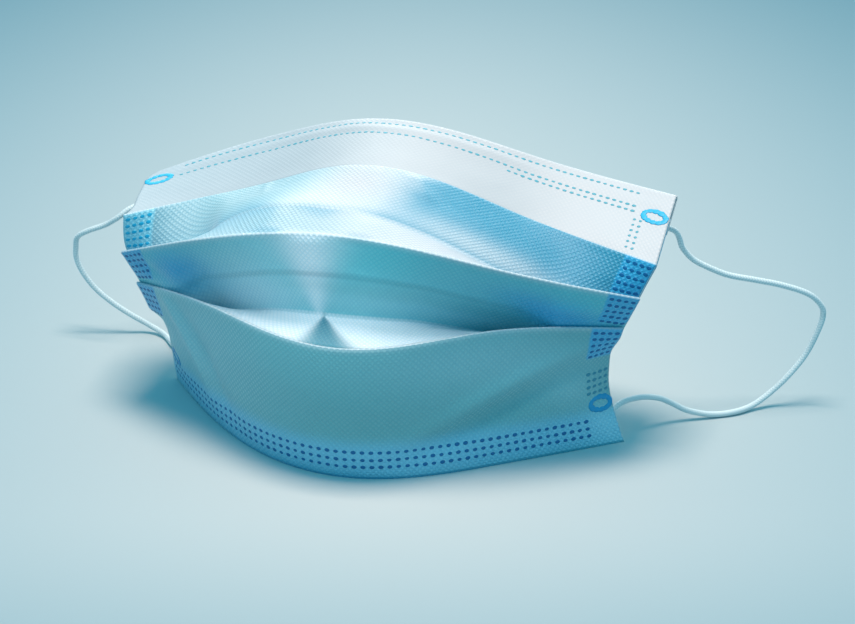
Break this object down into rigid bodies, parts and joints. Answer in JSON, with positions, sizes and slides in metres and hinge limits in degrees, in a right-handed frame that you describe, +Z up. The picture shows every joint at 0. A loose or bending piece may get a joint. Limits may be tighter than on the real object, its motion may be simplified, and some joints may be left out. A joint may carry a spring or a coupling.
{
  "type": "pleated face mask",
  "caption": "Pleated disposable face mask with a white nose band and thin elastic ear loops, standing on its lower edge with its pleats partly opened.",
  "frame": {"origin": "on the surface that the lower edge stands on, under the middle of the cloth's box", "axes": "+Z up, +X to the wearer's left as the mask faces the viewer, front of the mask towards -Y, wearer's face on the +Y side"},
  "size_m": [0.2438, 0.0892, 0.0859],
  "materials": {
    "blue_cloth": "pale blue embossed non-woven cloth, matt with a soft sheen",
    "white_cloth": "white embossed non-woven cloth, matt",
    "wire": "plain flat strip, hidden in the nose band",
    "elastic": "thin knitted elastic cord, white with a blue cast"
  },
  "bodies": {
    "root": {"pleated_cover": "blue_cloth", "nose_band": "white_cloth", "nose_wire": "wire", "ear_loop_left": "elastic", "ear_loop_right": "elastic"}
  },
  "joints": []
}
